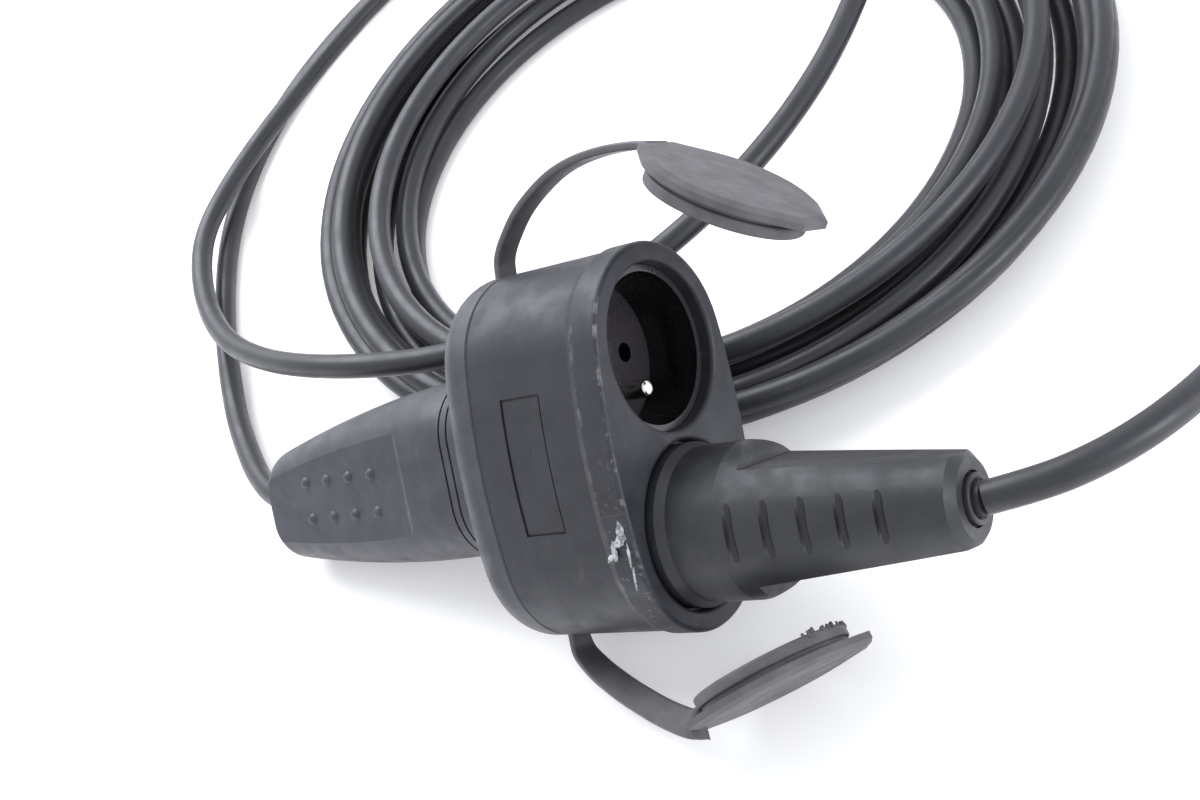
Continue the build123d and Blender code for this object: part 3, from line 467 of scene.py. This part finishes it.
def worn_edge(rubber, shade, scuffs):
    """Pale chafing on the face's left edge and the band's step, with flecks low on the band."""
    depth = rubber.along(FORWARD)
    rounded = rubber.window(rubber.facing(), 0.15, 0.4, 0.85, 0.97)
    left = rubber.ramp(rubber.along(SIDEWAYS), *LEFT_EDGE)
    rim = rubber.product(rounded, rubber.ramp(depth, *FACE_EDGE), left)
    step = rubber.product(rubber.window(depth, *BAND_STEP), 0.5)
    patches = rubber.ramp(rubber.noise(170.0, 4.0, 0.7), 0.50, 0.66)
    worn = rubber.product(rubber.math("ADD", rim, step), patches)
    flecks = rubber.ramp(rubber.noise(620.0, 3.0, 0.75), 0.59, 0.68)
    low = rubber.ramp(rubber.along(UPWARD), 0.012, -0.035)
    worn = rubber.math("ADD", worn, rubber.product(flecks, rubber.window(depth, *BAND), low))
    return rubber.blend(rubber.product(worn, 0.9 * scuffs), shade, CHAFED)


def cord_finish(colour):
    """Rubber cord: soft sheen, a little dust, and fine marks from being wound."""
    sheath = Finish("cord_sheath", Roughness=0.42, Specular_IOR_Level=0.5, Sheen_Weight=0.08)
    dark, light = colour_shades(colour)
    shade = sheath.blend(sheath.ramp(sheath.noise(38.0, 4.0, 0.6), 0.3, 0.7), dark, light)
    dust = sheath.ramp(sheath.noise(420.0, 4.0, 0.7), 0.58, 0.82, 0.0, 0.22)
    shade = sheath.blend(dust, shade, CORD_DUST)
    sheath.set("Base Color", shade)
    sheath.set("Roughness", sheath.ramp(sheath.noise(95.0, 4.0, 0.6), 0.3, 0.7, 0.36, 0.5))
    normal = sheath.bump(sheath.noise(75.0, 2.0), 0.1, 0.0006)
    sheath.set("Normal", sheath.bump(sheath.noise(1900.0, 3.0, 0.6), 0.14, 0.0001, normal))
    return sheath.material


def hard_finish(name, colour, roughness, metallic=0.0):
    """Smooth plastic or plated metal with faint smears."""
    hard = Finish(name, Metallic=metallic, Roughness=roughness)
    dark, light = colour_shades(colour, 0.85, 1.15)
    hard.set("Base Color", hard.blend(hard.ramp(hard.noise(210.0, 3.0), 0.3, 0.7), dark, light))
    hard.set("Roughness", hard.ramp(hard.noise(480.0, 3.0), 0.3, 0.7, 0.8 * roughness, 1.25 * roughness))
    hard.set("Normal", hard.bump(hard.noise(160.0, 2.0), 0.03, 0.0002))
    return hard.material


def insert_finish():
    """Glossy black plastic: painted shade darkens the walls to near black, and the faces that look out of
    the socket stay lighter.
    """
    insert = Finish("insert_plastic", Roughness=0.22)
    outward = insert.ramp(insert.facing(), 0.2, 0.9)
    # Painted shade: the walls, which face away from the socket's mouth, are darkened to near black
    insert.set("Base Color", insert.blend(outward, INSERT_WALL_PAINTED_SHADE, INSERT_FLOOR))
    insert.set("Roughness", insert.ramp(insert.noise(480.0, 3.0), 0.3, 0.7, 0.18, 0.3))
    return insert.material


def chip_finish():
    """Freshly torn rubber, paler and rougher than the skin."""
    chip = Finish("torn_rubber", Roughness=0.7)
    mottle = chip.ramp(chip.noise(900.0, 3.0), 0.35, 0.65)
    chip.set("Base Color", chip.blend(mottle, TORN_DARK, TORN_PALE))
    chip.set("Normal", chip.bump(chip.noise(2200.0, 3.0), 0.5, 0.0002))
    return chip.material


def dress(material, *nodes):
    """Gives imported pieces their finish."""
    for node in nodes:
        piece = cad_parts[node]
        piece.data.materials.clear()
        piece.data.materials.append(material)


def mesh_piece(name, build, material):
    """A new piece from a bmesh that build has filled."""
    work = bmesh.new()
    build(work)
    mesh = bpy.data.meshes.new(name)
    work.to_mesh(mesh)
    work.free()
    mesh.shade_smooth()
    piece = bpy.data.objects.new(name, mesh)
    bpy.context.scene.collection.objects.link(piece)
    mesh.materials.append(material)
    return piece


def lumps(spots, seed):
    """Returns a function that fills a bmesh with torn lumps, each a middle and three half axes."""

    def build(work):
        for index, (middle, *axes) in enumerate(spots):
            made = bmesh.ops.create_icosphere(work, subdivisions=4, radius=1.0)
            for vertex in made["verts"]:
                spot = vertex.co * 1.7 + Vector((seed, index * 5.0, 0.0))
                ragged = 1 + 0.55 * noise.noise(spot) + 0.3 * noise.noise(spot * 3.1)
                reach = vertex.co * ragged
                vertex.co = middle + sum((axis * part for axis, part in zip(axes, reach)), Vector())

    return build


def lane_at(lanes, turns):
    """Share and height at a number of turns, between the two nearest lanes."""
    index = min(int(turns), len(lanes) - 2)
    part = turns - index
    part = part * part * (3 - 2 * part)
    return [lanes[index][k] * (1 - part) + lanes[index + 1][k] * part for k in (0, 1)]


def coil_turns(lanes, start, sweep, settings, seed):
    """Points of the wound turns, clockwise seen from above."""
    count = int(sweep / (2 * pi) * settings.points_per_turn)
    points = []
    for step in range(count + 1):
        turned = sweep * step / count
        share, height = lane_at(lanes, turned / (2 * pi))
        angle = start - turned
        fan = max(0.0, cos(angle - FAN_ANGLE)) ** 2
        gather = (1 - cos(angle - FAN_ANGLE)) / 2
        share += GATHER * gather * (1 - share) + settings.fan * fan * (share - 0.5)
        share += settings.wander * (0.5 + fan) * 2 * noise.noise(Vector((turned * 0.55, seed, 0.0)))
        beyond = 0.5 * settings.fan * fan
        share = min(max(share, -beyond), 1.0 + beyond)
        middle = COIL_INNER[0].lerp(COIL_OUTER[0], share)
        reach = COIL_INNER[1] + settings.diameter / 2
        reach += (COIL_OUTER[1] - COIL_INNER[1] - settings.diameter) * share
        lift = PILE_LIFT * (1 + noise.noise(Vector((turned * 0.8, seed, 4.0)))) * min(height / PILE_TOP, 1)
        points.append((middle.x + reach * cos(angle), middle.y + reach * sin(angle), height + lift))
    return points


class LEAD_OT_cord(bpy.types.Operator):
    """Lays the whole cord, from the handle through its coil to the plug"""

    bl_idname = "lead.cord"
    bl_label = "Lay Cord"

    def execute(self, context):
        settings = context.scene.lead_cord
        points = list(HANDLE_ROUTE)
        points += coil_turns(FIRST_LANES, FIRST_START, FIRST_SWEEP, settings, 1.0)
        points += LOOSE_ROUTE
        points += coil_turns(LAST_LANES, LAST_START, LAST_SWEEP, settings, 7.0)
        points += reversed(PLUG_ROUTE)
        curve = bpy.data.curves.new("cord", "CURVE")
        curve.dimensions = "3D"
        spline = curve.splines.new("NURBS")
        spline.points.add(len(points) - 1)
        for point, spot in zip(spline.points, points):
            point.co = (*spot, 1.0)
        spline.order_u = 3
        spline.use_endpoint_u = True
        spline.resolution_u = 7
        curve.bevel_depth = settings.diameter / 2
        curve.bevel_resolution = 5
        curve.use_fill_caps = True
        curve.materials.append(cord_finish(settings.colour))
        cord = bpy.data.objects.new("cord", curve)
        context.scene.collection.objects.link(cord)
        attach(cord, "root")
        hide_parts("cord_handle_run", "cord_loose_turn", "cord_plug_run", "cord_coil")
        return {"FINISHED"}


class LEAD_OT_housing(bpy.types.Operator):
    """Finishes the socket housing and its handle, with the torn nick on its left edge"""

    bl_idname = "lead.housing"
    bl_label = "Finish Housing"

    def execute(self, context):
        settings = context.scene.lead_rubber
        shell = rubber_finish(
            "housing_rubber", settings.housing, scuffs=settings.scuffs, roughness=0.5, edge_wear=True
        )
        dress(shell, "front_shell")
        cover = rubber_finish(
            "handle_rubber", settings.handle, scuffs=0.6 * settings.scuffs, roughness=0.44
        )
        dress(cover, "rear_cover")
        nick = [
            (place(x, SIDE_FACE, z), UPWARD * tall * MM, FORWARD * wide * MM + UPWARD * lean * MM,
             SIDEWAYS * thick * MM)
            for x, z, tall, wide, lean, thick in NICK_LUMPS
        ]
        torn = mesh_piece("torn_nick", lumps(nick, 3.0), chip_finish())
        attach(torn, "root")
        return {"FINISHED"}


class LEAD_OT_sockets(bpy.types.Operator):
    """Finishes the socket inserts, the earth pins and the live parts"""

    bl_idname = "lead.sockets"
    bl_label = "Finish Sockets"

    def execute(self, context):
        dress(insert_finish(), "upper_socket_insert", "lower_socket_insert", "contact_carrier",
              "plug_pin_carrier", "cord_clamp")
        dress(hard_finish("pin_plating", PIN_PLATING, 0.2, 1.0), "upper_earth_pin", "lower_earth_pin",
              "plug_live_pin", "plug_neutral_pin", "plug_earth_clips")
        dress(hard_finish("contact_brass", CONTACT_BRASS, 0.3, 1.0), "live_contact_strip",
              "neutral_contact_strip", "earth_strip", "plug_earth_socket")
        dress(hard_finish("screw_steel", SCREW_STEEL, 0.35, 1.0), "carrier_screws", "terminal_screws",
              "clamp_screws")
        for name, colour in WIRE_COLOURS.items():
            insulation = hard_finish(name + "_insulation", colour, 0.4)
            dress(insulation, name + "_wire", "plug_" + name + "_wire")
        return {"FINISHED"}


class LEAD_OT_caps(bpy.types.Operator):
    """Finishes the two dusty caps and tears the lower one's bead"""

    bl_idname = "lead.caps"
    bl_label = "Finish Caps"

    def execute(self, context):
        settings = context.scene.lead_rubber
        dress(rubber_finish("cap_rubber", settings.caps, 1.3, min(1.0, 1.6 * settings.scuffs), 0.55),
              "upper_cap", "lower_cap")
        middle = place(*LOWER_CAP_MIDDLE)
        out, crown = direction(*LOWER_CAP_OUT), direction(*LOWER_CAP_CROWN)
        across = crown.cross(out)
        burrs = []
        for index in range(BURR_COUNT):
            shift = 6 * noise.noise(Vector((index * 2.3, 1.0, 6.0)))
            angle = radians(FIRST_BURR + BURR_PITCH * index + shift)
            radial = out * cos(angle) + across * sin(angle)
            size = 0.3 + 1.6 * abs(noise.noise(Vector((index * 1.7, 9.0, 2.0))))
            burrs.append((middle + (radial * BEAD_RADIUS - crown * BEAD_DEPTH) * MM,
                          radial * size * MM,
                          radial.cross(crown) * 1.5 * size * MM,
                          crown * (0.5 + 0.8 * size) * MM))
        torn = rubber_finish("burr_rubber", settings.caps, 1.5, 1.0, 0.6)
        piece = mesh_piece("cap_burrs", lumps(burrs, 5.0), torn)
        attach(piece, "lower_cap")
        return {"FINISHED"}


class LEAD_OT_plug(bpy.types.Operator):
    """Finishes the lead's own plug"""

    bl_idname = "lead.plug"
    bl_label = "Finish Plug"

    def execute(self, context):
        settings = context.scene.lead_rubber
        dress(rubber_finish("plug_rubber", settings.plug, 0.8, 0.6 * settings.scuffs, 0.46),
              "plug_body", "plug_gland")
        dress(cord_finish(context.scene.lead_cord.colour), "cord_end_in_handle", "cord_end_in_plug")
        return {"FINISHED"}


def smooth_line(points, count):
    """Points along a smooth line through the given ones."""
    line = []
    for step in range(count + 1):
        at = (len(points) - 1) * step / count
        index = min(int(at), len(points) - 2)
        part = at - index
        before = points[max(index - 1, 0)]
        start, end = points[index], points[index + 1]
        after = points[min(index + 2, len(points) - 1)]
        line.append(
            0.5 * (2 * start + (end - before) * part
                   + (2 * before - 5 * start + 4 * end - after) * part**2
                   + (3 * start - before - 3 * end + after) * part**3)
        )
    return line


def band_section(width, thickness, rounding):
    """The strap's rounded rectangle, as points in its own plane."""
    corners = []
    for corner in range(4):
        side = (1 if corner in (0, 3) else -1, 1 if corner in (0, 1) else -1)
        for step in range(4):
            angle = corner * pi / 2 + step * pi / 6
            corners.append((side[0] * (width / 2 - rounding) + rounding * cos(angle),
                            side[1] * (thickness / 2 - rounding) + rounding * sin(angle)))
    return corners


def build_strap(points, widths, settings):
    """Returns a function that fills a bmesh with a strap along the points."""
    steps = 60
    root_rings, cap_rings = 6, 5

    def build(work):
        line = smooth_line(points, steps)
        turns = smooth_line(widths, steps)
        section = band_section(settings.width, settings.thickness, 0.3 * settings.thickness)
        rings = []
        for index, spot in enumerate(line):
            along = (line[min(index + 1, steps)] - line[max(index - 1, 0)]).normalized()
            across = (turns[index] - along * turns[index].dot(along)).normalized()
            through = along.cross(across)
            flare = 1 + 0.35 * max(0.0, 1 - index / root_rings)
            flare += 0.25 * max(0.0, 1 - (steps - index) / cap_rings)
            rings.append([work.verts.new(spot + across * a * flare + through * b) for a, b in section])
        for first, second in zip(rings, rings[1:]):
            for k in range(len(section)):
                work.faces.new((first[k], first[k - 1], second[k - 1], second[k]))
        work.faces.new(rings[0])
        work.faces.new(list(reversed(rings[-1])))
        bmesh.ops.recalc_face_normals(work, faces=work.faces)

    return build


class LEAD_OT_straps(bpy.types.Operator):
    """Bends the two rubber straps from the housing to their caps"""

    bl_idname = "lead.straps"
    bl_label = "Bend Straps"

    def execute(self, context):
        settings = context.scene.lead_straps
        material = rubber_finish("strap_rubber", context.scene.lead_rubber.caps, 0.8, 0.5, 0.45)
        upper = [place(*spot) for spot in UPPER_STRAP]
        piece = mesh_piece("upper_cap_strap", build_strap(upper, [SIDEWAYS] * len(upper), settings),
                           material)
        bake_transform(piece)
        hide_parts("upper_strap")
        lower = [place(*spot) for spot in LOWER_STRAP]
        widths = [direction(*way) for way in LOWER_STRAP_WIDTHS]
        piece = mesh_piece("lower_cap_strap", build_strap(lower, widths, settings),
                           material)
        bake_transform(piece)
        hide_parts("lower_strap")
        return {"FINISHED"}


class LEAD_OT_studio(bpy.types.Operator):
    """Sets the pale floor, the soft lights and the camera"""

    bl_idname = "lead.studio"
    bl_label = "Set Studio"

    def execute(self, context):
        settings = context.scene.lead_studio
        scene = context.scene
        half = settings.floor_size / 2

        mesh = bpy.data.meshes.new("floor")
        corners = [(-half, -half, 0), (half, -half, 0), (half, half, 0), (-half, half, 0)]
        mesh.from_pydata(corners, [], [(0, 1, 2, 3)])
        floor = bpy.data.objects.new("floor", mesh)
        scene.collection.objects.link(floor)
        paper = Finish(
            "floor_paper", Base_Color=FLOOR_COLOUR, Roughness=0.85, Specular_IOR_Level=0.2,
            Emission_Color=(1.0, 1.0, 1.0, 1.0), Emission_Strength=FLOOR_GLOW,
        )
        mesh.materials.append(paper.material)

        world = bpy.data.worlds.new("white_room")
        world.use_nodes = True
        background = world.node_tree.nodes["Background"]
        background.inputs["Color"].default_value = SKY_COLOUR
        background.inputs["Strength"].default_value = settings.sky
        scene.world = world

        self.add_light(scene, "key", *KEY_LIGHT, settings.key_power)
        self.add_light(scene, "side", *SIDE_LIGHT, settings.side_power)

        camera = bpy.data.cameras.new("camera")
        camera.lens = LENS_MM
        camera.sensor_width = SENSOR_MM
        camera.clip_start = 0.01
        eye = bpy.data.objects.new("camera", camera)
        turned = Matrix((CAMERA_RIGHT, CAMERA_UP, CAMERA_BACK)).transposed().to_4x4()
        eye.matrix_world = Matrix.Translation(CAMERA_SPOT) @ turned
        scene.collection.objects.link(eye)
        scene.camera = eye
        scene.view_settings.view_transform = "Standard"
        return {"FINISHED"}

    @staticmethod
    def add_light(scene, name, spot, target, size, power):
        lamp = bpy.data.lights.new(name, "AREA")
        lamp.shape = "DISK"
        lamp.size = size
        lamp.energy = power
        lamp.color = LIGHT_COLOUR
        light = bpy.data.objects.new(name, lamp)
        light.location = spot
        light.rotation_euler = (Vector(target) - Vector(spot)).to_track_quat("-Z", "Y").to_euler()
        scene.collection.objects.link(light)


OPERATORS = (
    LEAD_OT_cord,
    LEAD_OT_housing,
    LEAD_OT_sockets,
    LEAD_OT_caps,
    LEAD_OT_plug,
    LEAD_OT_straps,
    LEAD_OT_studio,
)


class LEAD_PT_panel(bpy.types.Panel):
    """Lists the steps that dress the lead"""

    bl_label = "Extension Lead"
    bl_idname = "LEAD_PT_panel"
    bl_space_type = "VIEW_3D"
    bl_region_type = "UI"
    bl_category = "Lead"

    def draw(self, context):
        for operator in OPERATORS:
            self.layout.operator(operator.bl_idname)
        for group in SETTINGS:
            settings = getattr(context.scene, group)
            for name in settings.__annotations__:
                self.layout.prop(settings, name)


SETTINGS = {
    "lead_cord": CordSettings,
    "lead_rubber": RubberSettings,
    "lead_straps": StrapSettings,
    "lead_studio": StudioSettings,
}


def register():
    for group in (*SETTINGS.values(), *OPERATORS, LEAD_PT_panel):
        bpy.utils.register_class(group)
    for name, group in SETTINGS.items():
        setattr(bpy.types.Scene, name, PointerProperty(type=group))


def unregister():
    for name in SETTINGS:
        delattr(bpy.types.Scene, name)
    for group in (LEAD_PT_panel, *reversed(OPERATORS), *SETTINGS.values()):
        bpy.utils.unregister_class(group)


def main():
    register()
    bpy.ops.lead.cord()
    bpy.ops.lead.housing()
    bpy.ops.lead.sockets()
    bpy.ops.lead.caps()
    bpy.ops.lead.plug()
    bpy.ops.lead.straps()
    bpy.ops.lead.studio()


if __name__ == "__main__":
    main()
